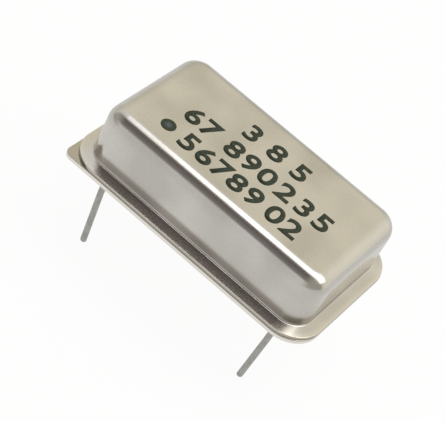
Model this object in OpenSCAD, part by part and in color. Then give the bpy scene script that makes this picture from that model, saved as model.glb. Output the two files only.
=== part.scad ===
// Clock oscillator in a welded metal can, on the full-size dual-in-line lead pattern.
// Millimetres. The origin is the centre of the four leads on the seating plane, where the
// stand-offs meet a board. +X runs towards leads 7 and 8, +Y towards leads 8 and 14, +Z up.

/* [Leads] */
// Distance between lead centres along the can
lead_pitch_x = 15.24; // [14.8:0.02:15.9]
// Distance between lead centres across the can
lead_pitch_y = 7.62; // [7.2:0.02:7.9]
// Diameter of a lead
lead_d = 0.46; // [0.36:0.02:0.6]
// Length of a lead below the seating plane
lead_length = 6.6; // [3:0.1:14]
// Chamfer round the tip of a lead
lead_tip = 0.08; // [0.02:0.01:0.15]
// Thickness of the tin on a lead, which stops at the seating plane
lead_tin_t = 0.01; // [0.005:0.005:0.02]
// How far a lead stands above the substrate
lead_rise = 0.8; // [0.6:0.05:1.4]

/* [Header] */
// Length over the header's weld flange
base_length = 20.5; // [20.2:0.1:24]
// Width over the header's weld flange
base_width = 12.4; // [12.3:0.1:16]
// Thickness of the weld flange
base_flange_t = 0.35; // [0.2:0.05:0.6]
// Radius of the flange's three round corners
base_corner_r = 2.4; // [1.2:0.1:3]
// Radius left on the square corner beside lead 1
index_corner_r = 0.6; // [0.2:0.05:1]
// Rounding along sheared sheet edges
edge_r = 0.05; // [0.02:0.01:0.09]
// Height of the inner platform above the weld face
platform_rise = 0.65; // [0.3:0.05:1.1]
// Space between the platform and the cover's wall
platform_space = 0.15; // [0.05:0.05:0.25]
// Height of the stand-offs below the header
standoff_h = 0.5; // [0.2:0.05:1]

/* [Seals] */
// Diameter of a glass seal in its hole
seal_d = 1.6; // [1.3:0.05:1.7]
// Diameter of a seal or stand-off where it meets the board
seal_foot_d = 1.2; // [1.05:0.05:1.25]
// Width of the braze round the ground lead
braze_w = 0.2; // [0.1:0.02:0.24]

/* [Cover] */
// Height of the cover above the weld face
cover_height = 4.6; // [4.3:0.1:7]
// Thickness of the cover's sheet
cover_t = 0.25; // [0.15:0.01:0.35]
// Width of the cover's flange outside its wall
cover_flange_w = 0.85; // [0.5:0.05:0.95]
// Rise of the flange from its welded rim up to the wall
cover_flange_rise = 0.17; // [0:0.01:0.3]
// Depth to which the weld flattens the rim's lower edge
weld_set = 0.02; // [0.01:0.01:0.05]
// Step from the header's edge in to the cover's edge
cover_step = 0.05; // [0:0.01:0.15]
// Radius of the wall's four corners, outside
wall_corner_r = 1.6; // [1.4:0.05:2]
// Radius of the edge round the top, outside
top_edge_r = 1.2; // [0.5:0.05:1.35]
// Radius of the bend where the wall meets the flange
foot_r = 0.15; // [0.1:0.01:0.4]

/* [Substrate] */
// Thickness of the ceramic
substrate_t = 0.635; // [0.4:0.005:1]
// Step from the platform's edge in to the substrate's edge
substrate_step = 0.15; // [0.05:0.05:0.2]
// Radius of the substrate's corners
substrate_corner_r = 0.5; // [0.1:0.1:1.2]
// Space round a lead in its hole
hole_space = 0.12; // [0.05:0.01:0.2]
// Thickness of the printed conductors
film_t = 0.02; // [0.01:0.005:0.05]
// Width of a printed track
track_w = 0.3; // [0.2:0.05:0.36]
// Width of the pad where a bond wire lands
landing_w = 0.45; // [0.36:0.05:0.5]
// Width and height of the solder fillet round a lead
fillet_r = 0.4; // [0.25:0.05:0.45]
// Thickness at the outer edge of a solder fillet
fillet_brim = 0.05; // [0.02:0.01:0.08]
// Margin of a pad round what is soldered to it
pad_margin = 0.1; // [0.05:0.05:0.15]

/* [Circuit] */
// Length of the die
die_l = 1.3; // [0.9:0.1:1.5]
// Width of the die
die_w = 1.1; // [0.9:0.1:1.5]
// Thickness of the die
die_t = 0.3; // [0.15:0.05:0.5]
// Thickness of the film under the die
attach_t = 0.03; // [0.02:0.005:0.06]
// Margin of the die's pad round the die
die_margin = 0.2; // [0.1:0.05:0.25]
// Distance from the lead row to the die
die_offset = 2.6; // [2.5:0.1:2.9]
// Distance from the die's side to where a bond wire lands
bond_span = 0.8; // [0.7:0.05:1]
// Distance from the die's edge in to a bond
bond_inset = 0.15; // [0.1:0.01:0.3]
// Diameter of a bond wire
bond_d = 0.04; // [0.03:0.005:0.06]
// Length of the bypass capacitor
cap_l = 2; // [1.6:0.1:2.4]
// Width of the bypass capacitor
cap_w = 1.25; // [0.8:0.05:1.6]
// Height of the bypass capacitor
cap_h = 0.8; // [0.5:0.05:1.2]
// Length of the capacitor's end caps
cap_end = 0.4; // [0.25:0.05:0.55]
// Thickness of the capacitor's end caps
cap_skin = 0.04; // [0.02:0.01:0.08]
// Space between the bond pads and the capacitor
cap_space = 0.5; // [0.4:0.05:0.65]

/* [Crystal] */
// Diameter of the quartz blank
blank_d = 8; // [6.5:0.1:8.6]
// Thickness of the quartz blank
blank_t = 0.14; // [0.08:0.01:0.3]
// Diameter of an electrode
electrode_d = 4.5; // [2.5:0.1:5.5]
// Thickness of an electrode
electrode_t = 0.02; // [0.01:0.005:0.04]
// Width of an electrode's tab
tab_w = 0.7; // [0.4:0.05:0.8]
// How far a tab returns under the rim
tab_return = 0.6; // [0.4:0.05:0.9]
// Height of a clip from foot to shelf
clip_h = 1.4; // [1:0.05:1.8]
// Length of a clip's foot and shelf
clip_arm = 1.3; // [1.2:0.05:1.7]
// Width of a clip
clip_w = 1.2; // [1:0.05:1.8]
// Thickness of a clip's strip
clip_t = 0.15; // [0.08:0.01:0.2]
// Radius round the outside of a clip's bends
clip_bend_r = 0.3; // [0.22:0.02:0.32]
// Distance from a clip's back to the blank's rim
clip_reach = 0.75; // [0.73:0.01:0.78]
// Radius of an adhesive dot
adhesive_r = 0.4; // [0.3:0.02:0.42]
// Thickness of the solder under a clip
solder_t = 0.05; // [0.02:0.01:0.1]
// Distance from where the bond wires land to the first clip
clip_offset = 1; // [0.9:0.05:1.3]

/* [Print] */
// Thickness of the ink
ink_t = 0.02; // [0.01:0.005:0.05]
// Diameter of the dot over lead 1
dot_d = 1.1; // [0.6:0.05:1.3]
// Height of a printed character
mark_h = 1.7; // [0.8:0.05:1.9]
// Width of a printed character
mark_w = 1.2; // [0.6:0.05:1.3]
// Distance between characters
mark_pitch = 1.5; // [1.4:0.05:1.55]
// Distance between the wider characters of the top row
wide_pitch = 2.25; // [1.6:0.05:3]
// Distance between printed rows
row_pitch = 2.35; // [2:0.05:2.5]
// Middle of the rows along the can
print_x = 0.45; // [0.4:0.05:0.8]
// Middle row across the can
print_y = -0.35; // [-0.5:0.05:0.5]
// Middle of the dot along the can
dot_x = -5.75; // [-6.5:0.05:-5.7]

/* [Hidden] */
$fn = 64;
past = 0.5;  // how far a cut runs past what it cuts

// Where the leads stand, and the bare wire inside the tin
lead_r = lead_d / 2;
wire_r = lead_r - lead_tin_t;
at_1 = [-lead_pitch_x, -lead_pitch_y] / 2;
at_7 = [lead_pitch_x, -lead_pitch_y] / 2;
at_8 = [lead_pitch_x, lead_pitch_y] / 2;
at_14 = [-lead_pitch_x, lead_pitch_y] / 2;

// Heights, from the seating plane up
base_z = standoff_h;
weld_z = base_z + base_flange_t;
platform_z = weld_z + platform_rise;
substrate_z = platform_z + substrate_t;
film_z = substrate_z + film_t;
die_z = film_z + attach_t;
die_top_z = die_z + die_t;
clip_z = film_z + solder_t;
blank_z = clip_z + clip_h + electrode_t;
cover_z = weld_z + cover_height;

// Half lengths and widths, from the outside in
base_half = [base_length, base_width] / 2;
wall_half = base_half - [1, 1] * (cover_step + cover_flange_w);
flange_angle = atan(cover_flange_rise / cover_flange_w);
top_rim = (wall_corner_r + top_edge_r) / 2;
platform_half = wall_half - [1, 1] * (cover_t + platform_space);
platform_corner_r = wall_corner_r - cover_t - platform_space;
substrate_half = platform_half - [1, 1] * substrate_step;

// The circuit is laid out from the lead 1 and 14 end
die_at = [-lead_pitch_x / 2 + die_offset, 0];
bond_reach = max(die_l, die_w) / 2 + bond_span;
bond_start = min(die_l, die_w) / 2 - bond_inset;
bond_end_x = die_at.x + bond_reach;
function landing(angle) = die_at + bond_reach * [cos(angle), sin(angle)];
enable_angle = 215;
ground_angle = 270;
crystal_out_angle = 305;
crystal_in_angle = 348;
output_angle = 60;
supply_angle = 145;
output_lane = 0.4;  // where the output's track runs between the wires and the clip's pad
bond_angles = [
    enable_angle, ground_angle, crystal_out_angle, crystal_in_angle, output_angle, supply_angle
];

cap_at = [die_at.x, landing(output_angle).y + landing_w / 2 + cap_space + cap_w / 2];
cap_pad = [cap_end + fillet_r + 2 * pad_margin, cap_w + 2 * pad_margin];
cap_pad_x = cap_l / 2 - cap_end - pad_margin + cap_pad.x / 2;

clip_in_x = bond_end_x + clip_offset;
blank_at = [clip_in_x + clip_reach + blank_d / 2, 0];
clip_out_x = blank_at.x + blank_d / 2 + clip_reach;
clip_pad = [clip_arm, clip_w] + [2, 2] * pad_margin;

lead_pad_r = wire_r + fillet_r + fillet_brim + pad_margin;
front_run_y = at_7.y;
crystal_run_y = (front_run_y - bond_reach) / 2;
output_run_x = bond_end_x + (clip_offset - pad_margin) * output_lane;
top_count = 3;
middle_count = 8;
last_count = 7;

// Carries a profile round a rectangle with round corners. The profile's x is measured
// outwards from the rectangle's face. Corners go round from +X+Y to -X+Y, -X-Y and +X-Y.
module carry_round(half, radii) {
    for (side = [0 : 3]) {
        along_x = side % 2 == 1;
        face = along_x ? half.y : half.x;
        run = along_x ? half.x : half.y;
        start_r = radii[(side + 3) % 4];
        end_r = radii[side];
        rotate(90 * side) {
            translate([face, (start_r - end_r) / 2, 0]) rotate([90, 0, 0])
                linear_extrude(2 * run - start_r - end_r, center = true) children();
            translate([face - end_r, run - end_r, 0])
                rotate_extrude(angle = 90) translate([end_r, 0]) children();
        }
    }
}

// A rectangle with round corners
module round_rect(half, r) {
    square([2 * half.x, 2 * (half.y - r)], center = true);
    square([2 * (half.x - r), 2 * half.y], center = true);
    for (x = [-1, 1], y = [-1, 1])
        translate([x * (half.x - r), y * (half.y - r)]) circle(r);
}

// The end of a sheet at x = 0: its sheared edge, rounded above and below, and a band behind it
module sheared_edge(sheet_t) {
    for (y = [edge_r, sheet_t - edge_r]) translate([-edge_r, y]) circle(edge_r);
    translate([-edge_r, edge_r]) square([edge_r, sheet_t - 2 * edge_r]);
    translate([-2 * edge_r, 0]) square([edge_r, sheet_t]);
}

module quarter_disc(r) {
    intersection() {
        circle(r);
        square(r);
    }
}

// The drawn sheet in section: a flange that rises from its welded rim, foot bend, wall, top bend
// and the rim of the top, which stops at top_rim and meets the flat top there
module cover_section() {
    across = [sin(flange_angle), cos(flange_angle)];
    rim = [cover_flange_w - cover_t * across.x, -weld_set];
    rim_top = rim + cover_t * across;
    top_bend = [-top_edge_r, cover_height - top_edge_r];
    foot_bend = [
        foot_r,
        rim_top.y + (rim_top.x - foot_r) * across.x / across.y + foot_r / across.y
    ];
    foot_end = foot_bend - (foot_r + cover_t) * across;
    flange_reach = norm(rim - foot_end) + foot_r;
    difference() {
        union() {
            translate([-top_rim, 0]) square([top_rim, top_bend.y]);
            translate([-top_rim, 0]) square([top_rim - top_edge_r, cover_height]);
            translate(top_bend) quarter_disc(top_edge_r);
            difference() {
                polygon([[-cover_t, 0], [-cover_t, foot_bend.y], foot_bend, foot_end]);
                translate(foot_bend) circle(foot_r);
            }
            translate(rim) rotate(-flange_angle) {
                translate([-flange_reach, 0]) square([flange_reach - edge_r, cover_t]);
                sheared_edge(cover_t);
            }
        }
        translate([-top_rim - past, -past])
            square([top_rim - cover_t + past, top_bend.y + past]);
        translate([-top_rim - past, -past])
            square([top_rim - top_edge_r + past, cover_height - cover_t + past]);
        translate(top_bend) quarter_disc(top_edge_r - cover_t);
        difference() {
            polygon([
                [-cover_t, -past], [-cover_t, foot_bend.y], foot_bend, foot_end, rim, [rim.x, -past]
            ]);
            translate(foot_bend) circle(foot_r + cover_t);
        }
        translate([-cover_t, -past]) square([cover_t + rim.x + past, past]);
    }
}

// The can's cover, drawn from one sheet
module cover() {
    color("#b9b2a4") {
        translate([0, 0, weld_z])
            carry_round(wall_half, [for (corner = [0 : 3]) wall_corner_r]) cover_section();
        translate([0, 0, cover_z - cover_t]) linear_extrude(cover_t)
            round_rect(wall_half - [1, 1] * top_rim, wall_corner_r - top_rim);
    }
}

// The weld flange up to the middle of the band behind its rounded edge, with its square
// corner beside lead 1
module flange_plate() {
    inset = 1.5 * edge_r;
    half = base_half - [1, 1] * inset;
    round_r = base_corner_r - inset;
    index_r = index_corner_r - inset;
    round_rect(half, round_r);
    translate([-half.x, -half.y]) {
        translate([index_r, 0]) square([round_r, round_r]);
        translate([0, index_r]) square([round_r, round_r]);
        translate([index_r, index_r]) circle(index_r);
    }
}

// One glass seal, or the metal stand-off of the same shape, in half section
module standoff_section(top_z) {
    polygon([
        [0, 0], [seal_foot_d / 2, 0], [seal_d / 2, base_z], [seal_d / 2, top_z], [0, top_z]
    ]);
}

// The header: weld flange, platform that fits inside the cover, and the ground stand-off
module header() {
    color("#a9a396") difference() {
        union() {
            translate([0, 0, base_z]) {
                carry_round(base_half, [
                    base_corner_r, base_corner_r, index_corner_r, base_corner_r
                ]) sheared_edge(base_flange_t);
                linear_extrude(base_flange_t) flange_plate();
                linear_extrude(platform_z - base_z) round_rect(platform_half, platform_corner_r);
            }
            translate(at_7) rotate_extrude() standoff_section(weld_z);
        }
        for (at = [at_1, at_8, at_14])
            translate([at.x, at.y, base_z - past])
                cylinder(h = platform_rise + base_flange_t + 2 * past, d = seal_d);
        translate([at_7.x, at_7.y, -past])
            cylinder(h = platform_z + 2 * past, r = wire_r + braze_w);
    }
}

// A lead: tinned wire below the seating plane, bare wire above it
module lead(at) {
    top_z = substrate_z + lead_rise;
    color("#a8a49c") translate(at) rotate_extrude() polygon([
        [0, -lead_length], [lead_r - lead_tip, -lead_length],
        [lead_r, lead_tip - lead_length], [lead_r, 0], [wire_r, 0], [wire_r, top_z], [0, top_z]
    ]);
}

module glass_seal(at) {
    color("#2f4f4a") translate(at) rotate_extrude() difference() {
        standoff_section(platform_z);
        translate([0, -past]) square([wire_r, platform_z + 2 * past]);
    }
}

module ground_braze() {
    color("#c9b27a") translate(at_7)
        rotate_extrude() translate([wire_r, 0]) square([braze_w, platform_z]);
}

module substrate() {
    color("#ece8dc") translate([0, 0, platform_z]) linear_extrude(substrate_t) difference() {
        round_rect(substrate_half, substrate_corner_r);
        for (at = [at_1, at_7, at_8, at_14]) translate(at) circle(wire_r + hole_space);
    }
}

// A straight run of track from one point to another, along X or along Y
module run(from, to) {
    low = [min(from.x, to.x), min(from.y, to.y)];
    high = [max(from.x, to.x), max(from.y, to.y)];
    translate(low - [1, 1] * track_w / 2) square(high - low + [1, 1] * track_w);
}

// A track through a list of points
module track(points) {
    for (i = [1 : len(points) - 1]) run(points[i - 1], points[i]);
}

module pad(at, size) {
    translate(at) square(size, center = true);
}

// One net of the printed circuit, with the ring pad of its lead where it has one
module net(lead_at) {
    translate([0, 0, substrate_z]) linear_extrude(film_t) difference() {
        union() {
            children();
            if (lead_at) translate(lead_at) circle(lead_pad_r);
        }
        if (lead_at) translate(lead_at) circle(wire_r + hole_space);
    }
}

module conductors() {
    bond_pad = [landing_w, landing_w];
    enable = landing(enable_angle);
    crystal_out = landing(crystal_out_angle);
    crystal_in = landing(crystal_in_angle);
    output = landing(output_angle);
    supply = landing(supply_angle);
    cap_supply = cap_at - [cap_pad_x, 0];
    cap_ground = cap_at + [cap_pad_x, 0];
    cap_entry_y = cap_at.y - cap_w / 4;
    clip_in = [clip_in_x + clip_arm / 2, 0];
    clip_out = [clip_out_x - clip_arm / 2, 0];
    color("#c8a650") {
        net(at_1) {
            pad(enable, bond_pad);
            track([enable, [enable.x, at_1.y], at_1]);
        }
        net(at_14) {
            pad(supply, bond_pad);
            pad(cap_supply, cap_pad);
            track([supply, [supply.x, cap_at.y]]);
            track([at_14, [at_14.x, cap_at.y], cap_supply]);
        }
        net(at_7) {
            pad(die_at, [die_l, die_w] + [2, 2] * die_margin);
            pad(cap_ground, cap_pad);
            pad(landing(ground_angle), bond_pad);
            track([[die_at.x, cap_entry_y], [die_at.x, front_run_y], at_7]);
            track([[die_at.x, cap_entry_y], [cap_ground.x, cap_entry_y]]);
        }
        net(at_8) {
            pad(output, bond_pad);
            track([output, [output_run_x, output.y], [output_run_x, at_8.y], at_8]);
        }
        net() {
            pad(crystal_in, bond_pad);
            pad(clip_in, clip_pad);
            track([crystal_in, [clip_in.x, crystal_in.y]]);
        }
        net() {
            pad(crystal_out, bond_pad);
            pad(clip_out, clip_pad);
            track([
                crystal_out, [crystal_out.x, crystal_run_y], [clip_out.x, crystal_run_y], clip_out
            ]);
        }
    }
}

// Solder drawn up round each lead in a hollow curve
module lead_solder() {
    color("#c2c4c6") for (at = [at_1, at_7, at_8, at_14]) translate([at.x, at.y, film_z])
        rotate_extrude() translate([wire_r, 0]) difference() {
            square(fillet_r + fillet_brim);
            translate([1, 1] * (fillet_r + fillet_brim)) circle(fillet_r);
        }
}

module oscillator_die() {
    color("#4b4f5c") translate([die_at.x - die_l / 2, die_at.y - die_w / 2, die_z])
        cube([die_l, die_w, die_t]);
}

module die_attach() {
    size = [die_l, die_w] + [1, 1] * pad_margin;
    color("#8d8f92") translate([die_at.x - size.x / 2, die_at.y - size.y / 2, film_z])
        cube([size.x, size.y, attach_t]);
}

// A wire that rises from the die, arches over its edge and comes down on its pad
module bond_wires() {
    arch_r = (bond_reach - bond_start) / 2;
    arch_z = die_top_z + bond_d;
    color("#d9b54a") translate(die_at) for (angle = bond_angles) rotate(angle) {
        translate([bond_start, 0, die_top_z]) cylinder(h = arch_z - die_top_z, d = bond_d);
        translate([bond_reach, 0, film_z]) cylinder(h = arch_z - film_z, d = bond_d);
        translate([bond_start + arch_r, 0, arch_z]) rotate([90, 0, 0])
            rotate_extrude(angle = 180) translate([arch_r, 0]) circle(d = bond_d);
    }
}

// The ceramic, a skin's thickness smaller than its end caps all round
module capacitor_body() {
    size = [cap_l, cap_w, cap_h] - [2, 2, 2] * cap_skin;
    color("#a98a63") translate([cap_at.x - size.x / 2, cap_at.y - size.y / 2, film_z + cap_skin])
        cube(size);
}

module capacitor_terminals() {
    color("#c9cac8") difference() {
        for (end = [-1, 1])
            translate([
                cap_at.x + end * (cap_l - cap_end) / 2 - cap_end / 2,
                cap_at.y - cap_w / 2,
                film_z
            ]) cube([cap_end, cap_w, cap_h]);
        capacitor_body();
    }
}

// Solder against both end caps, hollow like the fillets round the leads
module capacitor_solder() {
    color("#c2c4c6") for (end = [0, 1])
        translate([cap_at.x, cap_at.y, film_z]) rotate(180 * end)
            translate([cap_l / 2, 0, 0]) rotate([90, 0, 0])
                linear_extrude(cap_w, center = true) difference() {
                    square(fillet_r + fillet_brim);
                    translate([1, 1] * (fillet_r + fillet_brim)) circle(fillet_r);
                }
}

module crystal_blank() {
    color("#dfe6ea") translate([blank_at.x, blank_at.y, blank_z])
        cylinder(h = blank_t, d = blank_d);
}

// The film on one face, with its tab carried over the rim to the other face.
// Drawn on the upper face with the tab towards +X, the blank's middle at z = 0.
module electrode() {
    rim_r = blank_d / 2 + electrode_t;
    half_t = blank_t / 2 + electrode_t;
    color("#d5d7d8") difference() {
        union() {
            translate([0, 0, 0]) cylinder(h = half_t, d = electrode_d);
            intersection() {
                translate([0, 0, -half_t]) cylinder(h = 2 * half_t, r = rim_r);
                union() {
                    translate([0, -tab_w / 2, 0]) cube([rim_r + past, tab_w, half_t]);
                    translate([blank_d / 2 - tab_return, -tab_w / 2, -half_t])
                        cube([tab_return + past, tab_w, 2 * half_t]);
                }
            }
        }
        translate([0, 0, -blank_t / 2]) cylinder(h = blank_t, d = blank_d);
    }
}

module electrode_upper() {
    translate([blank_at.x, blank_at.y, blank_z + blank_t / 2]) electrode();
}

module electrode_lower() {
    translate([blank_at.x, blank_at.y, blank_z + blank_t / 2]) rotate([0, 180, 0]) electrode();
}

// The region inside a clip's strip, moved in by inset, with its back at x = 0
module clip_region(inset) {
    bend_r = clip_bend_r - inset;
    translate([clip_bend_r, inset]) square([clip_arm, clip_h - 2 * inset]);
    translate([inset, clip_bend_r]) square([clip_bend_r, clip_h - 2 * clip_bend_r]);
    for (z = [clip_bend_r, clip_h - clip_bend_r]) translate([clip_bend_r, z]) circle(bend_r);
}

// A strip bent into a foot, a back and a shelf, which face +X
module clip() {
    color("#b7b4ac") rotate([90, 0, 0]) linear_extrude(clip_w, center = true) difference() {
        intersection() {
            clip_region(0);
            square([clip_arm, clip_h]);
        }
        clip_region(clip_t);
    }
}

module clip_input() {
    translate([clip_in_x, blank_at.y, clip_z]) clip();
}

module clip_output() {
    translate([clip_out_x, blank_at.y, clip_z]) rotate(180) clip();
}

module clip_solder() {
    foot_l = clip_arm - clip_bend_r;
    color("#c2c4c6")
        for (x = [clip_in_x + clip_bend_r, clip_out_x - clip_bend_r - foot_l])
            translate([x, blank_at.y - clip_w / 2, film_z]) cube([foot_l, clip_w, solder_t]);
}

// A dome on each clip's shelf, moulded round the rim of the blank
module clip_adhesive() {
    rim_r = blank_d / 2 + electrode_t;
    shelf_z = clip_z + clip_h;
    color("#6e6a60") difference() {
        for (side = [-1, 1])
            translate([blank_at.x + side * blank_d / 2, blank_at.y, shelf_z])
                intersection() {
                    sphere(adhesive_r);
                    translate([-adhesive_r, -adhesive_r, 0]) cube(2 * adhesive_r);
                }
        translate([blank_at.x, blank_at.y, shelf_z - past])
            cylinder(h = blank_t + 2 * electrode_t + past, r = rim_r);
    }
}

// The printed dot, in line with the last row
module index_dot() {
    color("#48514b") translate([dot_x, print_y - row_pitch, cover_z])
        cylinder(h = ink_t, d = dot_d);
}

// Fields of ink where the characters of the three rows stand
module marking() {
    color("#48514b") translate([print_x, print_y, cover_z]) {
        character_row(top_count, wide_pitch, row_pitch);
        character_row(middle_count, mark_pitch, 0);
        character_row(last_count, mark_pitch, -row_pitch);
    }
}

// A row of equal fields, its middle at x = 0
module character_row(count, pitch, y) {
    for (place = [0 : count - 1])
        translate([(place - (count - 1) / 2) * pitch - mark_w / 2, y - mark_h / 2, 0])
            cube([mark_w, mark_h, ink_t]);
}

cover();
header();
lead(at_1);  // lead_1
lead(at_7);  // lead_7
lead(at_8);  // lead_8
lead(at_14);  // lead_14
glass_seal(at_1);  // seal_1
glass_seal(at_8);  // seal_8
glass_seal(at_14);  // seal_14
ground_braze();
substrate();
conductors();
lead_solder();
oscillator_die();
die_attach();
bond_wires();
capacitor_body();
capacitor_terminals();
capacitor_solder();
crystal_blank();
electrode_upper();
electrode_lower();
clip_input();
clip_output();
clip_solder();
clip_adhesive();
index_dot();
marking();
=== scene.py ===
import math
import bmesh
import bpy
from mathutils import Matrix, Vector, noise


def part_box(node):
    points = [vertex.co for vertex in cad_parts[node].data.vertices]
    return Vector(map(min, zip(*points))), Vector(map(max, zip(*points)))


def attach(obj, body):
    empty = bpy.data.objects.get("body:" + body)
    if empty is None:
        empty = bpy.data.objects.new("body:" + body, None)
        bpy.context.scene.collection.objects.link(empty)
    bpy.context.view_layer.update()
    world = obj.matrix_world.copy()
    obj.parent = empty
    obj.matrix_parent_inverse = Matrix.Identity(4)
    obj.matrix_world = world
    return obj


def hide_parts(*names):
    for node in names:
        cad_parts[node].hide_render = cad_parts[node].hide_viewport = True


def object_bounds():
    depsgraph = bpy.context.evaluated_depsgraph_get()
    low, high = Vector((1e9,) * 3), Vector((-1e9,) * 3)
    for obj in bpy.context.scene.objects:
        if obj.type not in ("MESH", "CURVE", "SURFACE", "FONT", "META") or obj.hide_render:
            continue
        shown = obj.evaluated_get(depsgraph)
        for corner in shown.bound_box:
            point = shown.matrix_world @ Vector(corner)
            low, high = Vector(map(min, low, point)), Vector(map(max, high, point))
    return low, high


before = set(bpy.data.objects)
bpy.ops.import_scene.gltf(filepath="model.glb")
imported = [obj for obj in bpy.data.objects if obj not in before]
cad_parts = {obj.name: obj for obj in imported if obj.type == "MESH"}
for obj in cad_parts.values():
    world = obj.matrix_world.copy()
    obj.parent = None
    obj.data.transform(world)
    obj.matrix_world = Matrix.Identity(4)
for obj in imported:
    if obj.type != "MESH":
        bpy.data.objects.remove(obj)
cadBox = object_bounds()
mm = 0.001
mergeReach = 1e-7  # metres; points nearer than this are one
mixShare, mixFirst, mixSecond, mixResult = 0, 6, 7, 2  # sockets of a Mix node that mixes colours
print("loaded", len(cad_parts), "solids")


def linearColour(hexText):
    # sRGB hex to the linear values that shaders take
    channels = [int(hexText[i:i + 2], 16) / 255 for i in (1, 3, 5)]
    return [c / 12.92 if c <= 0.04045 else ((c + 0.055) / 1.055) ** 2.4 for c in channels] + [1]


def addNode(tree, kind, settings=None, values=None, links=None):
    # a node with its settings, its plain values (hex text for a colour) and what feeds it
    node = tree.nodes.new(kind)
    for name, value in (settings or {}).items():
        setattr(node, name, value)
    for socket, value in (values or {}).items():
        node.inputs[socket].default_value = linearColour(value) if isinstance(value, str) else value
    for socket, source in (links or {}).items():
        origin = source.outputs[0] if isinstance(source, bpy.types.Node) else source
        tree.links.new(origin, node.inputs[socket])
    return node


def newMaterial(name, values):
    # a material with its shader's plain numbers set, and object coordinates in millimetres
    material = bpy.data.materials.new(name)
    material.use_nodes = True
    tree = material.node_tree
    shader = tree.nodes["Principled BSDF"]
    for socket, value in values.items():
        shader.inputs[socket].default_value = value
    coords = addNode(tree, "ShaderNodeTexCoord")
    place = addNode(tree, "ShaderNodeMapping", values={"Scale": (1 / mm, 1 / mm, 1 / mm)},
                    links={"Vector": coords.outputs["Object"]})
    return material, tree, shader, place


plateLook = {
    "coverPale": "#d9d5cf", "coverDull": "#c8c4bd", "headerPale": "#c0baaf", "headerDull": "#b9b2a6",
    "roughness": 0.16, "roughSpread": 0.06,
    # patterns in cells to the millimetre, and their reliefs in millimetres
    "cloud": 0.3, "cloudDetail": 0.8, "cloudEdges": (0.35, 0.65),
    "grain": 7.0, "grainDepth": 0.0005, "wave": 0.22, "waveDepth": 0.03,
    "coverStreaks": (7.0, 7.0, 0.35), "headerStreaks": (5.0, 5.0, 5.0),
    "speck": "#9d9891", "speckEdges": (0.45, 0.62), "speckShare": 0.09,
    "tint": "#8b7354", "tintReach": 0.07, "tintShare": 0.12, "tintDrop": 0.05,
}


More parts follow.
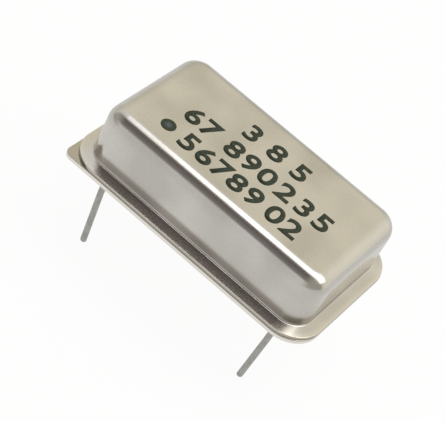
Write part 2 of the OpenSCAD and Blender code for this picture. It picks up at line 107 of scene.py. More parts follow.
def nickelPlate(name, pale, dull, streaks, seamHeight, bands):
    # satin nickel plate on steel sheet: a warm grey, soft mirror with faint clouds, tiny specks and
    # fine die marks, heat-tinted along the weld; some bands of height get tones of painted light or shade
    look = plateLook
    material, tree, shader, place = newMaterial(name, {"Metallic": 1.0})
    cloud = addNode(tree, "ShaderNodeTexNoise",
                    values={"Scale": look["cloud"], "Detail": look["cloudDetail"]}, links={"Vector": place})
    fine = addNode(tree, "ShaderNodeTexNoise", values={"Scale": look["grain"], "Roughness": 0.6},
                   links={"Vector": place})  # real grain is finer; this is the smallest that shows
    cloudStart, cloudFull = look["cloudEdges"]
    patches = addNode(tree, "ShaderNodeMapRange", values={"From Min": cloudStart, "From Max": cloudFull},
                      links={"Value": cloud})
    body = addNode(tree, "ShaderNodeMix", {"data_type": "RGBA"}, {mixFirst: pale, mixSecond: dull},
                   {mixShare: patches})
    speckStart, speckFull = look["speckEdges"]
    specks = addNode(tree, "ShaderNodeMapRange",
                     values={"From Min": speckStart, "From Max": speckFull, "To Max": look["speckShare"]},
                     links={"Value": fine})
    body = addNode(tree, "ShaderNodeMix", {"data_type": "RGBA"}, {mixSecond: look["speck"]},
                   {mixShare: specks, mixFirst: body.outputs[mixResult]})
    axes = addNode(tree, "ShaderNodeSeparateXYZ", links={"Vector": place})
    # each band mixes a tone of painted light or shade over its span of heights
    for band in bands.values():
        start, full, fade, end = [band["base"] + offset for offset in band["offsets"]]
        rise = addNode(tree, "ShaderNodeMapRange", {"interpolation_type": "SMOOTHSTEP"},
                       {"From Min": start, "From Max": full, "To Max": band["share"]},
                       {"Value": axes.outputs["Z"]})
        fall = addNode(tree, "ShaderNodeMapRange", {"interpolation_type": "SMOOTHSTEP"},
                       {"From Min": fade, "From Max": end, "To Min": 1.0, "To Max": 0.0},
                       {"Value": axes.outputs["Z"]})
        inBand = addNode(tree, "ShaderNodeMath", {"operation": "MULTIPLY"}, links={0: rise, 1: fall})
        body = addNode(tree, "ShaderNodeMix", {"data_type": "RGBA"}, {mixSecond: band["tone"]},
                       {mixShare: inBand, mixFirst: body.outputs[mixResult]})
    above = addNode(tree, "ShaderNodeMath", {"operation": "SUBTRACT"}, {1: seamHeight},
                    {0: axes.outputs["Z"]})
    away = addNode(tree, "ShaderNodeMath", {"operation": "ABSOLUTE"}, links={0: above})
    seam = addNode(tree, "ShaderNodeMapRange",
                   values={"From Max": look["tintReach"], "To Min": look["tintShare"], "To Max": 0.0},
                   links={"Value": away})
    tinted = addNode(tree, "ShaderNodeMix", {"data_type": "RGBA"}, {mixSecond: look["tint"]},
                     {mixShare: seam, mixFirst: body.outputs[mixResult]})
    tree.links.new(tinted.outputs[mixResult], shader.inputs["Base Color"])
    along = addNode(tree, "ShaderNodeMapping", values={"Scale": streaks}, links={"Vector": place})
    marks = addNode(tree, "ShaderNodeTexNoise", values={"Scale": 1.0, "Detail": 3.0, "Roughness": 0.65},
                    links={"Vector": along})
    mixed = addNode(tree, "ShaderNodeMath", {"operation": "ADD"}, links={0: cloud, 1: marks})
    rough = addNode(tree, "ShaderNodeMapRange",
                    values={"From Min": 0.7, "From Max": 1.3, "To Min": look["roughness"],
                            "To Max": look["roughness"] + look["roughSpread"]}, links={"Value": mixed})
    tree.links.new(rough.outputs[0], shader.inputs["Roughness"])
    swell = addNode(tree, "ShaderNodeTexNoise", values={"Scale": look["wave"], "Detail": 1.0},
                    links={"Vector": place})
    soft = addNode(tree, "ShaderNodeBump", values={"Distance": look["waveDepth"] * mm},
                   links={"Height": swell})
    grainy = addNode(tree, "ShaderNodeBump", values={"Distance": look["grainDepth"] * mm},
                     links={"Height": fine, "Normal": soft})
    lined = addNode(tree, "ShaderNodeBump", values={"Distance": look["grainDepth"] * mm},
                    links={"Height": marks, "Normal": grainy})
    tree.links.new(lined.outputs[0], shader.inputs["Normal"])
    return material


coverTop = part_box("cover")[1].z / mm
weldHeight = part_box("cover")[0].z / mm
# offsets from base in millimetres: where a tone starts, is full, fades and ends
coverBands = {
    # painted shade: a duller, greener band round the top bend that darkens its edges
    "paintedBendShade": {"base": coverTop, "offsets": (-1.3, -0.65, -0.32, -0.02), "tone": "#b9baae", "share": 0.25},
    # painted sheen: the flange made paler than its reflections alone would make it
    "paintedFlangeSheen": {"base": weldHeight, "offsets": (0.12, 0.2, 0.21, 0.31), "tone": "#ece4d3", "share": 0.5},
    # painted shade: the wall darkened towards its foot, where it meets the flange
    "paintedFootShade": {"base": weldHeight, "offsets": (0.36, 0.5, 0.95, 1.35), "tone": "#8a847b", "share": 0.34},
    # painted shade: the flange's outer rim darkened
    "paintedRimShade": {"base": weldHeight, "offsets": (-0.2, -0.1, 0.14, 0.2), "tone": "#afaba1", "share": 0.9},
}
headerBands = {
    # painted highlight: the header's edge made paler
    "paintedHeaderEdgeHighlight": {"base": weldHeight, "offsets": (-0.345, -0.3, -0.08, -0.02), "tone": "#f7f2ea",
                    "share": 0.9},
}
coverPlate = nickelPlate("satinNickelPlateDrawn", plateLook["coverPale"], plateLook["coverDull"],
                         plateLook["coverStreaks"], weldHeight, coverBands)
headerPlate = nickelPlate("satinNickelPlateStamped", plateLook["headerPale"], plateLook["headerDull"],
                          plateLook["headerStreaks"], weldHeight - plateLook["tintDrop"], headerBands)


def grainMaterial(name, pale, dull, metallic, roughness, cell, depth, extra=None):
    # two close tones in cells of one size in millimetres, with roughness and relief to match
    material, tree, shader, place = newMaterial(name, dict({"Metallic": metallic}, **(extra or {})))
    cells = addNode(tree, "ShaderNodeTexNoise", values={"Scale": 1 / cell, "Detail": 3.0, "Roughness": 0.6},
                    links={"Vector": place})
    patches = addNode(tree, "ShaderNodeMapRange", values={"From Min": 0.35, "From Max": 0.65},
                      links={"Value": cells})
    tone = addNode(tree, "ShaderNodeMix", {"data_type": "RGBA"}, {mixFirst: pale, mixSecond: dull},
                   {mixShare: patches})
    tree.links.new(tone.outputs[mixResult], shader.inputs["Base Color"])
    rough = addNode(tree, "ShaderNodeMapRange",
                    values={"From Min": 0.3, "From Max": 0.7, "To Min": roughness * 0.85,
                            "To Max": roughness * 1.2}, links={"Value": cells})
    tree.links.new(rough.outputs[0], shader.inputs["Roughness"])
    relief = addNode(tree, "ShaderNodeBump", values={"Distance": depth * mm}, links={"Height": cells})
    tree.links.new(relief.outputs[0], shader.inputs["Normal"])
    return material


# hot-dipped tin on wire: grey and softly shiny, with long shallow ripples
leadTin = grainMaterial("hotDippedTin", "#b3b1ac", "#a3a19b", 1.0, 0.25, 0.35, 0.004)
# fused sealing glass: dark green, glossy, a few soft ripples
sealGlass = grainMaterial("fusedSealingGlass", "#16302a", "#0d211d", 0.0, 0.06, 0.6, 0.01,
                          {"IOR": 1.52, "Coat Weight": 0.3})
# fused braze: yellowish metal with a rippled skin
brazeMetal = grainMaterial("fusedBraze", "#c2ac7c", "#a89366", 1.0, 0.3, 0.25, 0.01)
# fired alumina: chalk white with fine grain
aluminaWhite = grainMaterial("firedAlumina", "#ece8dc", "#e2ddcf", 0.0, 0.55, 0.08, 0.003, {"IOR": 1.76})
# fired gold paste: warm, slightly rough from the screen
goldPaste = grainMaterial("firedGoldPaste", "#cda552", "#b98f3f", 1.0, 0.34, 0.09, 0.003)
# reflowed solder: bright with a frosty skin
solderSkin = grainMaterial("reflowedSolder", "#c9cbcd", "#b4b6b9", 1.0, 0.2, 0.2, 0.004)
# polished silicon: dark mirror with faint blocks of circuit tone
siliconFace = grainMaterial("polishedSilicon", "#555a68", "#3e4351", 0.6, 0.15, 0.12, 0.0006)
# silver-filled adhesive: matt grey paste
silverPaste = grainMaterial("silverFilledAdhesive", "#8e8d88", "#75746f", 0.4, 0.5, 0.07, 0.004)
# drawn gold wire: smooth, rich yellow with faint lines of tone
goldWire = grainMaterial("drawnGoldWire", "#dcb658", "#c69f45", 1.0, 0.22, 0.05, 0.0005)
# fired capacitor ceramic: tan and matt
capCeramic = grainMaterial("firedCapacitorCeramic", "#a98a63", "#987953", 0.0, 0.5, 0.1, 0.003)
# plated tin on the capacitor's ends: pale and satin
capTin = grainMaterial("platedTin", "#c9cac8", "#b5b6b4", 1.0, 0.35, 0.1, 0.003)
# lapped quartz: pale, frosted, partly clear
quartzFace = grainMaterial("lappedQuartz", "#e2e8ec", "#d3dbe1", 0.0, 0.35, 0.05, 0.0008,
                           {"IOR": 1.54, "Transmission Weight": 0.6})
# evaporated silver: bright and thin
silverFilm = grainMaterial("evaporatedSilver", "#dadcdd", "#cacccd", 1.0, 0.16, 0.15, 0.0005)
# rolled spring strip under nickel: even grey with a satin sheen
springStrip = grainMaterial("rolledSpringStrip", "#b7b4ac", "#a6a39b", 1.0, 0.25, 0.12, 0.001)


inkLook = {
    "dark": "#252d21", "light": "#3d4735", "cell": 0.16, "relief": 0.006, "roughness": (0.4, 0.62),
    "dotCore": "#5a6467", "coreShare": 0.95, "coreFull": 0.1, "coreEnd": 0.62,
}


def printInk(name, dotSpot=None, dotReach=0.0):
    # cured printing ink: green-black, low gloss, thin in places; a dot is thinner in its middle
    look = inkLook
    material, tree, shader, place = newMaterial(name, {"IOR": 1.5, "Specular IOR Level": 0.3})
    cells = addNode(tree, "ShaderNodeTexNoise",
                    values={"Scale": 1 / look["cell"], "Detail": 4.0, "Roughness": 0.65},
                    links={"Vector": place})
    patches = addNode(tree, "ShaderNodeMapRange", values={"From Min": 0.35, "From Max": 0.7},
                      links={"Value": cells})
    tone = addNode(tree, "ShaderNodeMix", {"data_type": "RGBA"},
                   {mixFirst: look["dark"], mixSecond: look["light"]}, {mixShare: patches})
    if dotSpot:
        away = addNode(tree, "ShaderNodeVectorMath", {"operation": "DISTANCE"}, {1: dotSpot}, {0: place})
        core = addNode(tree, "ShaderNodeMapRange",
                       values={"From Min": dotReach * look["coreFull"],
                               "From Max": dotReach * look["coreEnd"],
                               "To Min": look["coreShare"], "To Max": 0.0},
                       links={"Value": away.outputs["Value"]})
        tone = addNode(tree, "ShaderNodeMix", {"data_type": "RGBA"}, {mixSecond: look["dotCore"]},
                       {mixShare: core, mixFirst: tone.outputs[mixResult]})
    tree.links.new(tone.outputs[mixResult], shader.inputs["Base Color"])
    smoothest, roughest = look["roughness"]
    rough = addNode(tree, "ShaderNodeMapRange",
                    values={"From Min": 0.3, "From Max": 0.7, "To Min": smoothest, "To Max": roughest},
                    links={"Value": cells})
    tree.links.new(rough.outputs[0], shader.inputs["Roughness"])
    relief = addNode(tree, "ShaderNodeBump", values={"Distance": look["relief"] * mm},
                     links={"Height": cells})
    tree.links.new(relief.outputs[0], shader.inputs["Normal"])
    return material


dotLow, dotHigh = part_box("index_dot")
dotSpot = (dotLow + dotHigh) / 2 / mm
markInk = printInk("curedPrintInk")
dotInk = printInk("curedPrintInkDot", tuple(dotSpot), (dotHigh.x - dotLow.x) / 2 / mm)
print("materials ready")


def cornerRound(points, radii, steps):
    # an open outline with each inner corner turned to an arc; radius 0 leaves the corner
    rounded = []
    for i, (x, y) in enumerate(points):
        if not radii[i]:
            rounded.append((x, y))
            continue
        here = Vector((x, y))
        back = (Vector(points[i - 1]) - here).normalized()
        ahead = (Vector(points[i + 1]) - here).normalized()
        half = back.angle(ahead) / 2
        centre = here + (back + ahead).normalized() * radii[i] / math.sin(half)
        start = here + back * radii[i] / math.tan(half) - centre
        turn = (here + ahead * radii[i] / math.tan(half) - centre).angle_signed(start)
        for k in range(steps + 1):
            arm = Matrix.Rotation(turn * k / steps, 2) @ start
            rounded.append(tuple(centre + arm))
    return rounded


def outlineCurve(name, points):
    # an open line through points in millimetres, as a curve object that a sweep can take
    curve = bpy.data.curves.new(name, "CURVE")
    curve.dimensions = "2D"
    line = curve.splines.new("POLY")
    line.points.add(len(points) - 1)
    for point, (x, y) in zip(line.points, points):
        point.co = (x * mm, -y * mm, 0, 1)  # the sweep turns a section's height over
    shape = bpy.data.objects.new(name, curve)
    bpy.context.collection.objects.link(shape)
    return shape


indexCornerNumber = 2  # the rectangle's corner beside lead 1


def carryTree():
    # carries a sheet's section round a rectangle whose index corner has a radius of its own
    tree = bpy.data.node_groups.new("carriedSheet", "GeometryNodeTree")
    face = tree.interface
    for label, kind in (("Length", "NodeSocketFloat"), ("Width", "NodeSocketFloat"),
                        ("Corner Radius", "NodeSocketFloat"), ("Index Radius", "NodeSocketFloat"),
                        ("Corner Steps", "NodeSocketInt"), ("Section", "NodeSocketObject"),
                        ("Material", "NodeSocketMaterial")):
        face.new_socket(label, in_out="INPUT", socket_type=kind)
    face.new_socket("Geometry", in_out="OUTPUT", socket_type="NodeSocketGeometry")
    sizes = addNode(tree, "NodeGroupInput").outputs
    path = addNode(tree, "GeometryNodeCurvePrimitiveQuadrilateral",
                   links={"Width": sizes["Length"], "Height": sizes["Width"]})
    order = addNode(tree, "GeometryNodeInputIndex")
    atIndex = addNode(tree, "FunctionNodeCompare", {"data_type": "INT", "operation": "EQUAL"},
                      {3: indexCornerNumber}, {2: order})  # sockets 2 and 3 take whole numbers
    radius = addNode(tree, "GeometryNodeSwitch", {"input_type": "FLOAT"},
                     links={"Switch": atIndex, "False": sizes["Corner Radius"],
                            "True": sizes["Index Radius"]})
    fillet = addNode(tree, "GeometryNodeFilletCurve", {"mode": "POLY"},
                     links={"Curve": path, "Count": sizes["Corner Steps"], "Radius": radius})
    section = addNode(tree, "GeometryNodeObjectInfo", links={"Object": sizes["Section"]})
    sweep = addNode(tree, "GeometryNodeCurveToMesh",
                    links={"Curve": fillet, "Profile Curve": section.outputs["Geometry"]})
    real = addNode(tree, "GeometryNodeRealizeInstances", links={"Geometry": sweep})
    painted = addNode(tree, "GeometryNodeSetMaterial",
                      links={"Geometry": real, "Material": sizes["Material"]})
    addNode(tree, "NodeGroupOutput", links={"Geometry": painted})
    return tree


sheetTree = carryTree()


def carriedSheet(name, section, sizes, material):
    # the swept sheet as a plain bmesh, still open where the section ends
    profile = outlineCurve(name + "Section", section)
    host = bpy.data.objects.new(name, bpy.data.meshes.new(name))
    bpy.context.collection.objects.link(host)
    modifier = host.modifiers.new("carry", "NODES")
    modifier.node_group = sheetTree
    wanted = {"Length": sizes["length"] * mm, "Width": sizes["width"] * mm,
              "Corner Radius": sizes["corner"] * mm, "Index Radius": sizes["indexCorner"] * mm,
              "Corner Steps": sizes["steps"], "Section": profile, "Material": material}
    for item in sheetTree.interface.items_tree:
        if item.item_type == "SOCKET" and item.in_out == "INPUT":
            modifier[item.identifier] = wanted[item.name]
    graph = bpy.context.evaluated_depsgraph_get()
    mesh = bpy.data.meshes.new_from_object(host.evaluated_get(graph))
    bm = bmesh.new()
    bm.from_mesh(mesh)
    host.modifiers.remove(modifier)
    bpy.data.objects.remove(host)
    bpy.data.objects.remove(profile)
    return bm


shading = {"levelNormal": 0.9999, "areaWeight": 90}


def finishPiece(name, bm, material, nodes, crisp=False, body="root"):
    # closes up a bmesh as a shaded piece that stands for its solids; crisp leaves level faces flat
    bmesh.ops.remove_doubles(bm, verts=bm.verts, dist=mergeReach)
    bmesh.ops.recalc_face_normals(bm, faces=bm.faces)
    for part in bm.faces:
        part.smooth = not (crisp and abs(part.normal.z) > shading["levelNormal"])
    mesh = bpy.data.meshes.new(name)
    bm.to_mesh(mesh)
    bm.free()
    piece = bpy.data.objects.new(name, mesh)
    bpy.context.collection.objects.link(piece)
    weigh = piece.modifiers.new("weigh", "WEIGHTED_NORMAL")
    weigh.mode, weigh.weight, weigh.keep_sharp = "FACE_AREA", shading["areaWeight"], crisp
    graph = bpy.context.evaluated_depsgraph_get()
    final = bpy.data.meshes.new_from_object(piece.evaluated_get(graph))
    piece.modifiers.clear()
    piece.data = final
    final.materials.clear()
    final.materials.append(material)
    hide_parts(*nodes)
    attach(piece, body)
    return piece


coverLow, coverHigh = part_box("cover")
coverShape = {  # lengths in millimetres, here and in the pieces below
    "sheet": 0.25, "flange": 0.85, "rise": 0.17, "weldSet": 0.02, "bead": 0.035, "wallCorner": 1.6,
    "topEdge": 1.2, "foot": 0.15, "edge": 0.05, "lowerEdge": 0.03, "rim": 1.4,
    "bendSteps": 20, "cornerSteps": 28,
}


def coverSection(shape, height):
    # outside from the rim of the top down to the flange, round its edge and back up the inside;
    # the weld swells the rim by its bead
    t, w, rim = shape["sheet"], shape["flange"], shape["rim"]
    slope = shape["rise"] / w
    lean = t * math.sin(math.atan(slope))
    lip = t * math.cos(math.atan(slope)) - shape["weldSet"]
    corners = [(-rim, height), (0, height), (0, lip + w * slope), (w + shape["bead"], lip),
               (w + shape["bead"], 0), (w - lean - shape["weldSet"] / slope, 0),
               (-t, (w - lean + t) * slope - shape["weldSet"]), (-t, height - t), (-rim, height - t)]
    radii = [0, shape["topEdge"], shape["foot"], shape["edge"], shape["lowerEdge"], 0,
             shape["foot"] + t, shape["topEdge"] - t, 0]
    return cornerRound(corners, radii, shape["bendSteps"])


def makeCover():
    # one drawn sheet: its section is carried round, and its top closed on both sides
    shape = coverShape
    height = (coverHigh.z - coverLow.z) / mm
    sizes = {
        "length": (coverHigh.x - coverLow.x) / mm - 2 * shape["flange"],
        "width": (coverHigh.y - coverLow.y) / mm - 2 * shape["flange"],
        "corner": shape["wallCorner"], "indexCorner": shape["wallCorner"], "steps": shape["cornerSteps"],
    }
    bm = carriedSheet("coverCan", coverSection(shape, height), sizes, coverPlate)
    rims = [edge for edge in bm.edges if edge.is_boundary]
    bmesh.ops.holes_fill(bm, edges=rims, sides=0)
    bmesh.ops.translate(bm, verts=bm.verts, vec=(0, 0, coverLow.z))
    return finishPiece("coverCan", bm, coverPlate, ["cover"])


makeCover()
print("cover made")


headerLow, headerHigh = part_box("header")
leadNames = ["lead_1", "lead_7", "lead_8", "lead_14"]
leadSpots = {name: (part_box(name)[0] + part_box(name)[1]) / 2 for name in leadNames}
headerShape = {
    "underside": 0.5, "flange": 0.35, "edge": 0.05, "corner": 2.4, "indexCorner": 0.6, "bendSteps": 10,
    "cornerSteps": 28, "platformIn": 1.3, "platformCorner": 1.2, "platformSteps": 12, "holeRadius": 0.8,
    "bossFoot": 0.6, "groundBore": 0.42, "holeSteps": 48, "softEdge": 0.03,
}
groundLead = "lead_7"


def ringVerts(bm, radius, spot, height, steps):
    # a circle of points: radius in millimetres, spot and height in metres
    turns = [2 * math.pi * k / steps for k in range(steps)]
    return [bm.verts.new((spot.x + radius * mm * math.cos(a), spot.y + radius * mm * math.sin(a), height))
            for a in turns]


def loopEdges(bm, verts):
    return [bm.edges.get((a, b)) or bm.edges.new((a, b)) for a, b in zip(verts, verts[1:] + verts[:1])]


def bandFaces(bm, lower, upper):
    for i in range(len(lower)):
        j = (i + 1) % len(lower)
        bm.faces.new((lower[i], lower[j], upper[j], upper[i]))


def roundedRing(bm, halfX, halfY, radius, height, steps):
    # a rounded rectangle of points: radius in millimetres, the rest in metres
    ring = []
    for x, y, start in ((1, 1, 0), (-1, 1, 90), (-1, -1, 180), (1, -1, 270)):
        for k in range(steps + 1):
            a = math.radians(start + 90 * k / steps)
            ring.append(bm.verts.new((x * (halfX - radius * mm) + radius * mm * math.cos(a),
                                      y * (halfY - radius * mm) + radius * mm * math.sin(a), height)))
    return ring


def makeHeader():
    # the flange's edge is carried round; its faces, platform, holes and ground boss are set into it
    shape = headerShape
    t, edge = shape["flange"], shape["edge"]
    section = cornerRound([(-2 * edge, t), (0, t), (0, 0), (-2 * edge, 0)], [0, edge, edge, 0],
                          shape["bendSteps"])
    length, width = (headerHigh.x - headerLow.x) / mm, (headerHigh.y - headerLow.y) / mm
    sizes = {"length": length, "width": width, "corner": shape["corner"],
             "indexCorner": shape["indexCorner"], "steps": shape["cornerSteps"]}
    bm = carriedSheet("headerBase", section, sizes, headerPlate)
    bmesh.ops.remove_doubles(bm, verts=bm.verts, dist=mergeReach)
    rim = [e for e in bm.edges if e.is_boundary]
    lowRim = [e for e in rim if e.verts[0].co.z < t * mm / 2]
    highRim = [e for e in rim if e.verts[0].co.z > t * mm / 2]
    weld, top = t * mm, headerHigh.z - shape["underside"] * mm
    foot = -shape["underside"] * mm
    steps, soft = shape["holeSteps"], shape["softEdge"]
    hole, bore, boss = shape["holeRadius"], shape["groundBore"], shape["bossFoot"]
    plainHole = [(hole + soft, 0), (hole, soft * mm), (hole, top)]
    groundBoss = [(hole, 0), (boss, foot + soft * mm), (boss - soft, foot), (bore + soft, foot),
                  (bore, foot + soft * mm), (bore, top)]
    lowHoles, topHoles = [], []
    for name, spot in leadSpots.items():
        rings = [ringVerts(bm, radius, spot, height, steps)
                 for radius, height in (groundBoss if name == groundLead else plainHole)]
        for lower, upper in zip(rings, rings[1:]):
            bandFaces(bm, lower, upper)
        lowHoles += loopEdges(bm, rings[0])
        topHoles += loopEdges(bm, rings[-1])
    halfX, halfY = length * mm / 2 - shape["platformIn"] * mm, width * mm / 2 - shape["platformIn"] * mm
    platformLow, platformTop = [roundedRing(bm, halfX, halfY, shape["platformCorner"], height,
                                            shape["platformSteps"]) for height in (weld, top)]
    bandFaces(bm, platformLow, platformTop)
    bmesh.ops.triangle_fill(bm, use_beauty=True, edges=lowRim + lowHoles)
    bmesh.ops.triangle_fill(bm, use_beauty=True, edges=highRim + loopEdges(bm, platformLow))
    bmesh.ops.triangle_fill(bm, use_beauty=True, edges=loopEdges(bm, platformTop) + topHoles)
    bmesh.ops.translate(bm, verts=bm.verts, vec=(0, 0, shape["underside"] * mm))
    return finishPiece("headerBase", bm, headerPlate, ["header"],
                       crisp=True)


makeHeader()
print("header made")


leadShape = {
    "steps": 32, "rings": 24, "bendTop": -0.4, "bendLength": 2.6,
    "tip": 0.08, "tipRings": ((1.0, 1.0), (0.4, 0.9), (0.0, 0.65)),  # shares of tip height and radius
    "lean": {"lead_1": (0.56, -0.50), "lead_7": (-0.28, -0.33),
             "lead_8": (0.06, 0.05), "lead_14": (-0.05, 0.08)},
}


def turned(name, rings, material, nodes, steps):
    # a solid of rings: (centre, radius) pairs in metres, closed at both ends
    bm = bmesh.new()
    loops = []
    for centre, radius in rings:
        loops.append([bm.verts.new((centre[0] + radius * math.cos(2 * math.pi * k / steps),
                                    centre[1] + radius * math.sin(2 * math.pi * k / steps), centre[2]))
                      for k in range(steps)])
    for lower, upper in zip(loops, loops[1:]):
        bandFaces(bm, lower, upper)
    bm.faces.new(loops[0][::-1])
    bm.faces.new(loops[-1])
    return finishPiece(name, bm, material, nodes)


def makeLead(name):
    # a wire that leaves its seal straight, then leans a little from handling
    shape = leadShape
    low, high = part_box(name)
    spot, radius = leadSpots[name], (high.x - low.x) / 2
    lean, tip = shape["lean"][name], shape["tip"] * mm
    start, bend = shape["bendTop"] * mm, shape["bendLength"] * mm
    reach = start - low.z
    stations = [(high.z, 1.0)] + [(start - reach * k / shape["rings"], 1.0) for k in range(shape["rings"])]
    stations += [(low.z + tip * up, wide) for up, wide in shape["tipRings"]]
    rings = []
    for height, wide in stations:
        down = max(0.0, start - height)
        share = (down * down / (2 * bend) if down < bend else down - bend / 2) / (reach - bend / 2)
        rings.append(((spot.x + lean[0] * mm * share, spot.y + lean[1] * mm * share, height), radius * wide))
    return turned(name.replace("_", "Wire"), rings, leadTin, [name], shape["steps"])


for leadName in leadNames:
    makeLead(leadName)

sealShape = {
    "foot": 0.6, "bead": 0.3, "rimFlow": 0.2, "meniscus": 0.16, "grip": 0.98, "turnSteps": 8, "steps": 48,
}


def makeSeal(number):
    # a glass bead in its hole, round where it flowed, hollow where it wets the wire and the hole
    shape = sealShape
    low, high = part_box("seal_" + number)
    spot, wide = leadSpots["lead_" + number], (high.x - low.x) / 2 / mm
    wire = (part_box("lead_" + number)[1].x - spot.x) * shape["grip"] / mm
    foot, top, drop = low.z / mm, high.z / mm, shape["meniscus"]
    corners = [(wire, foot), (shape["foot"], foot), (wide, headerShape["underside"]),
               (wide, top - drop * 0.3)]
    profile = cornerRound(corners, [0, shape["bead"], shape["rimFlow"], 0], shape["turnSteps"])
    # the hollow top, from the hole's wall to the wire
    profile += [(wide - 0.03, top - 0.06), (wide * 0.8, top - drop), (wire + 0.12, top - drop * 0.8),
                (wire + 0.03, top - 0.03), (wire, top)]
    bm = bmesh.new()
    loops = [ringVerts(bm, radius, spot, height * mm, shape["steps"]) for radius, height in profile]
    for lower, upper in zip(loops, loops[1:] + loops[:1]):
        bandFaces(bm, lower, upper)
    return finishPiece("sealBead" + number, bm, sealGlass, ["seal_" + number])


for sealNumber in ("1", "8", "14"):
    makeSeal(sealNumber)
print("leads and seals made")


markLow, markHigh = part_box("marking")
markShape = {
    "height": 1.7, "stretch": 1.14, "boldness": 0.022, "ragged": 0.012, "cell": 0.12, "seed": 3,
    "curveSteps": 6, "cuts": 3,
    "rows": [  # a row's middle height, then each digit's middle and the digit
        (2.0, [(-1.85, "3"), (0.26, "8"), (2.32, "5")]),
        (-0.4, [(-5.2, "6"), (-3.8, "7"), (-1.72, "8"), (-0.28, "9"), (1.15, "0"), (2.75, "2"), (4.35, "3"),
                (5.88, "5")]),
        (-2.7, [(-3.95, "5"), (-2.5, "6"), (-1.1, "7"), (0.22, "8"), (1.65, "9"), (3.46, "0"), (4.87, "2")]),
    ],
}


def makeMarking():
    # plain digits, printed with a slightly ragged edge
    shape = markShape
    bm = bmesh.new()
    for y, places in shape["rows"]:
        for x, digit in places:
            text = bpy.data.curves.new("digit", "FONT")
            text.body, text.size, text.offset = digit, 1.0, shape["boldness"]
            text.extrude, text.resolution_u = 0.01, shape["curveSteps"]  # real thickness is set below
            holder = bpy.data.objects.new("digit", text)
            bpy.context.collection.objects.link(holder)
            graph = bpy.context.evaluated_depsgraph_get()
            graph.update()
            mesh = bpy.data.meshes.new_from_object(holder.evaluated_get(graph))
            bpy.data.objects.remove(holder)
            xs, ys = [v.co.x for v in mesh.vertices], [v.co.y for v in mesh.vertices]
            scale = shape["height"] / (max(ys) - min(ys)) * mm
            middle = Vector(((max(xs) + min(xs)) / 2, (max(ys) + min(ys)) / 2, 0))
            for v in mesh.vertices:
                z = markHigh.z if v.co.z > 0 else markLow.z
                flat = (v.co - middle) * scale
                v.co = Vector((x * mm + flat.x * shape["stretch"], y * mm + flat.y, z))
            bm.from_mesh(mesh)
    bmesh.ops.remove_doubles(bm, verts=bm.verts, dist=mergeReach)
    # long straight edges are cut, so that they turn ragged too
    straights = [e for e in bm.edges if e.calc_length() > 2 * shape["cell"] * mm and len(e.link_faces) == 2
                 and e.calc_face_angle(0) > 1]
    bmesh.ops.subdivide_edges(bm, edges=straights, cuts=shape["cuts"])
    noise.seed_set(shape["seed"])
    for v in bm.verts:
        push = noise.noise_vector(v.co.xy.to_3d() / (shape["cell"] * mm)) * shape["ragged"] * mm
        v.co += Vector((push.x, push.y, 0))
    return finishPiece("printedDigits", bm, markInk, ["marking"])


makeMarking()
print("print made")


solidFinishes = {  # solids whose own shape is right, and what they are made of
    "ground_braze": brazeMetal, "substrate": aluminaWhite, "conductors": goldPaste, "lead_solder": solderSkin,
    "oscillator_die": siliconFace, "die_attach": silverPaste, "bond_wires": goldWire,
    "capacitor_body": capCeramic, "capacitor_terminals": capTin, "capacitor_solder": solderSkin,
    "crystal_blank": quartzFace, "electrode_upper": silverFilm, "electrode_lower": silverFilm,
    "clip_input": springStrip, "clip_output": springStrip, "clip_solder": solderSkin,
    "clip_adhesive": silverPaste, "index_dot": dotInk,
}
for nodeName, nodeMaterial in solidFinishes.items():
    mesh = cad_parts[nodeName].data
    mesh.materials.clear()
    mesh.materials.append(nodeMaterial)
print("inner pieces and dot finished")


stageLook = {"floorSize": 1.2, "floorCells": 12, "floor": "#fdfdfc", "backWhite": 0.94, "mirrored": 0.79}
floorHeight = cadBox[0][2]


def makeFloor():
    # near white to the eye and a little darker in what the metal mirrors; it keeps the shadow, and
    # is clear from below, so that the underside shows
    cells = stageLook["floorCells"]
    bm = bmesh.new()
    bmesh.ops.create_grid(bm, x_segments=cells, y_segments=cells, size=stageLook["floorSize"] / 2)
    mesh = bpy.data.meshes.new("studioFloor")
    bm.to_mesh(mesh)
    bm.free()
    floor = bpy.data.objects.new("studioFloor", mesh)
    floor.location.z = floorHeight
    bpy.context.collection.objects.link(floor)
    material = bpy.data.materials.new("paintedFloor")
    material.use_nodes = True
    tree = material.node_tree
    tree.nodes.clear()
    paint = addNode(tree, "ShaderNodeBsdfDiffuse", values={"Color": stageLook["floor"]})
    rays = addNode(tree, "ShaderNodeLightPath")
    level = addNode(tree, "ShaderNodeMapRange", values={"To Min": stageLook["mirrored"], "To Max": 1.0},
                    links={"Value": rays.outputs["Is Camera Ray"]})
    white = addNode(tree, "ShaderNodeEmission", values={"Color": "#ffffff"}, links={"Strength": level})
    seen = addNode(tree, "ShaderNodeMath", {"operation": "MAXIMUM"},
                   links={0: rays.outputs["Is Camera Ray"], 1: rays.outputs["Is Glossy Ray"]})
    through = addNode(tree, "ShaderNodeMath", {"operation": "MAXIMUM"},
                      links={0: seen, 1: rays.outputs["Is Transmission Ray"]})
    share = addNode(tree, "ShaderNodeMath", {"operation": "MULTIPLY"}, {1: stageLook["backWhite"]},
                    {0: through})
    both = addNode(tree, "ShaderNodeMixShader", links={0: share, 1: paint, 2: white})
    face = addNode(tree, "ShaderNodeNewGeometry")
    clear = addNode(tree, "ShaderNodeBsdfTransparent")
    oneSided = addNode(tree, "ShaderNodeMixShader", links={0: face.outputs["Backfacing"], 1: both, 2: clear})
    addNode(tree, "ShaderNodeOutputMaterial", links={"Surface": oneSided})
    mesh.materials.append(material)
    return floor


makeFloor()

cameraShape = {  # places and distances in millimetres, roll in degrees
    "place": (23.03, -78.63, 75.66), "target": (-0.17, -1.37, 1.42), "roll": 28.94, "lens": 133.68,
    "sensor": 36, "nearest": 2, "farthest": 20000,
}


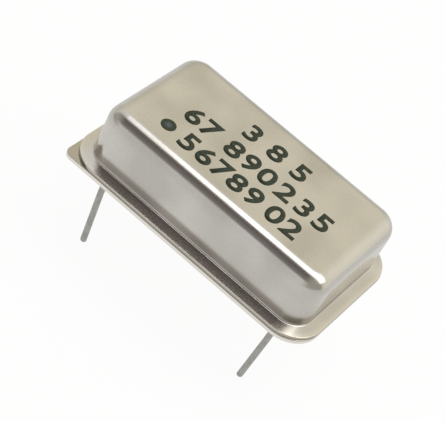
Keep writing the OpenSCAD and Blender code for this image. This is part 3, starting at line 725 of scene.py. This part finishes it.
def makeCamera():
    shape = cameraShape
    data = bpy.data.cameras.new("studioCamera")
    data.lens, data.sensor_width = shape["lens"], shape["sensor"]
    data.clip_start, data.clip_end = shape["nearest"] * mm, shape["farthest"] * mm
    camera = bpy.data.objects.new("studioCamera", data)
    bpy.context.collection.objects.link(camera)
    place = Vector(shape["place"]) * mm
    aim = Vector(shape["target"]) * mm - place
    turn = aim.to_track_quat("-Z", "Y").to_matrix() @ Matrix.Rotation(math.radians(shape["roll"]), 3, "Z")
    camera.matrix_world = Matrix.Translation(place) @ turn.to_4x4()
    bpy.context.scene.camera = camera


makeCamera()

# the room that the metal mirrors, in degrees from straight up towards the front: its middle, its
# left side and its right side
roomBands = [
    (-180, "#eaeaea"), (-100, "#dfdfdc"), (-88, "#c8c9c1"), (-66, "#d7d5c8"), (-52, "#eae5d2"),
    (-38, "#eae5d2"), (-22, "#eaeaea"), (6, "#eaeaea"), (13, "#7d7775"), (23, "#675d60"), (36, "#7b7673"),
    (48, "#888280"), (57, "#8f8989"), (64, "#e6e5e8"), (90, "#e8e8ea"), (180, "#eaeaea"),
]
leftBands = [
    (-180, "#eaeaea"), (-112, "#ffffff"), (-85, "#f8f6f0"), (-62, "#d2cec1"), (-42, "#d6d3c6"),
    (-20, "#e6e3da"), (-4, "#eae8df"), (16, "#b9b5af"), (60, "#bab6b0"), (95, "#c0bdb8"),
    (130, "#c4c1bc"), (160, "#dcdcd8"), (180, "#eaeaea"),
]
rightBands = [
    (-180, "#eaeaea"), (-110, "#f2f1ea"), (-60, "#fffbee"), (-8, "#eae8df"), (14, "#b3b0a9"),
    (60, "#b3b0a9"), (95, "#bdbbb5"), (130, "#bebcb6"), (160, "#dcdcd8"), (180, "#eaeaea"),
]
roomLook = {  # by how far a direction points right of the object; the left side's bands lean, in degrees
    "middle": -0.2, "sideStart": 0.12, "sideFull": 0.65, "slantStart": 0.05, "slantFull": 0.5, "slant": 8.5,
}


def makeRoom():
    # three ramps of tone round the object, blended from the middle out; white to the eye
    world = bpy.data.worlds.new("softRoom")
    bpy.context.scene.world = world
    world.use_nodes = True
    tree = world.node_tree
    tree.nodes.clear()
    coords = addNode(tree, "ShaderNodeTexCoord")
    axes = addNode(tree, "ShaderNodeSeparateXYZ", links={"Vector": coords.outputs["Generated"]})
    front = addNode(tree, "ShaderNodeMath", {"operation": "MULTIPLY"}, {1: -1.0}, {0: axes.outputs["Y"]})
    angle = addNode(tree, "ShaderNodeMath", {"operation": "ARCTAN2"}, links={0: front, 1: axes.outputs["Z"]})
    left = addNode(tree, "ShaderNodeMath", {"operation": "SUBTRACT"}, {0: roomLook["middle"]},
                   {1: axes.outputs["X"]})
    aside = addNode(tree, "ShaderNodeMath", {"operation": "ABSOLUTE"}, links={0: left})
    sideways = addNode(tree, "ShaderNodeMapRange",
                       values={"From Min": roomLook["sideStart"], "From Max": roomLook["sideFull"]},
                       links={"Value": aside})
    slant = addNode(tree, "ShaderNodeMapRange",
                    values={"From Min": roomLook["slantStart"], "From Max": roomLook["slantFull"],
                            "To Max": math.radians(roomLook["slant"])}, links={"Value": left})
    slanted = addNode(tree, "ShaderNodeMath", {"operation": "ADD"}, links={0: angle, 1: slant})
    place = addNode(tree, "ShaderNodeMapRange", values={"From Min": -math.pi, "From Max": math.pi},
                    links={"Value": slanted})
    ramps = []
    for bands in (roomBands, leftBands, rightBands):
        ramp = addNode(tree, "ShaderNodeValToRGB", links={"Fac": place})
        stops = ramp.color_ramp.elements
        while len(stops) > 1:
            stops.remove(stops[0])
        for i, (degrees, tone) in enumerate(bands):
            stop = stops[0] if i == 0 else stops.new((degrees + 180) / 360)
            stop.position = (degrees + 180) / 360
            stop.color = linearColour(tone)
        ramps.append(ramp)
    onLeft = addNode(tree, "ShaderNodeMath", {"operation": "GREATER_THAN"}, {1: 0.0}, {0: left})
    middleRamp, leftRamp, rightRamp = ramps
    sides = addNode(tree, "ShaderNodeMix", {"data_type": "RGBA"},
                    links={mixShare: onLeft, mixFirst: rightRamp, mixSecond: leftRamp})
    room = addNode(tree, "ShaderNodeMix", {"data_type": "RGBA"},
                   links={mixShare: sideways, mixFirst: middleRamp, mixSecond: sides.outputs[mixResult]})
    rays = addNode(tree, "ShaderNodeLightPath")
    seen = addNode(tree, "ShaderNodeMix", {"data_type": "RGBA"}, {mixSecond: "#ffffff"},
                   {mixShare: rays.outputs["Is Camera Ray"], mixFirst: room.outputs[mixResult]})
    light = addNode(tree, "ShaderNodeBackground", values={"Strength": 1.0},
                    links={"Color": seen.outputs[mixResult]})
    addNode(tree, "ShaderNodeOutputWorld", links={"Surface": light})


makeRoom()

lampShape = {  # lengths in millimetres; back and right lean it from straight overhead, in degrees
    "distance": 300, "back": 7.7, "right": 19.4, "slant": 0.05, "width": 431, "depth": 171, "watts": 0.356,
}


def makeLamp():
    # one long softbox overhead, which reaches out to the right and gives the front bend its highlight
    data = bpy.data.lights.new("overheadSoftbox", "AREA")
    data.shape, data.size, data.size_y = "RECTANGLE", lampShape["width"] * mm, lampShape["depth"] * mm
    data.energy = lampShape["watts"]
    lamp = bpy.data.objects.new("overheadSoftbox", data)
    bpy.context.collection.objects.link(lamp)
    back, right = math.radians(lampShape["back"]), math.radians(lampShape["right"])
    way = Vector((math.sin(right), math.sin(back) * math.cos(right), math.cos(back) * math.cos(right)))
    across = way.cross(Vector((1, lampShape["slant"], 0))).normalized()
    turn = Matrix((across.cross(way), across, way)).transposed().to_4x4()
    lamp.matrix_world = Matrix.Translation(way * lampShape["distance"] * mm) @ turn


makeLamp()
bpy.context.scene.view_settings.view_transform = "Standard"
print("stage ready")
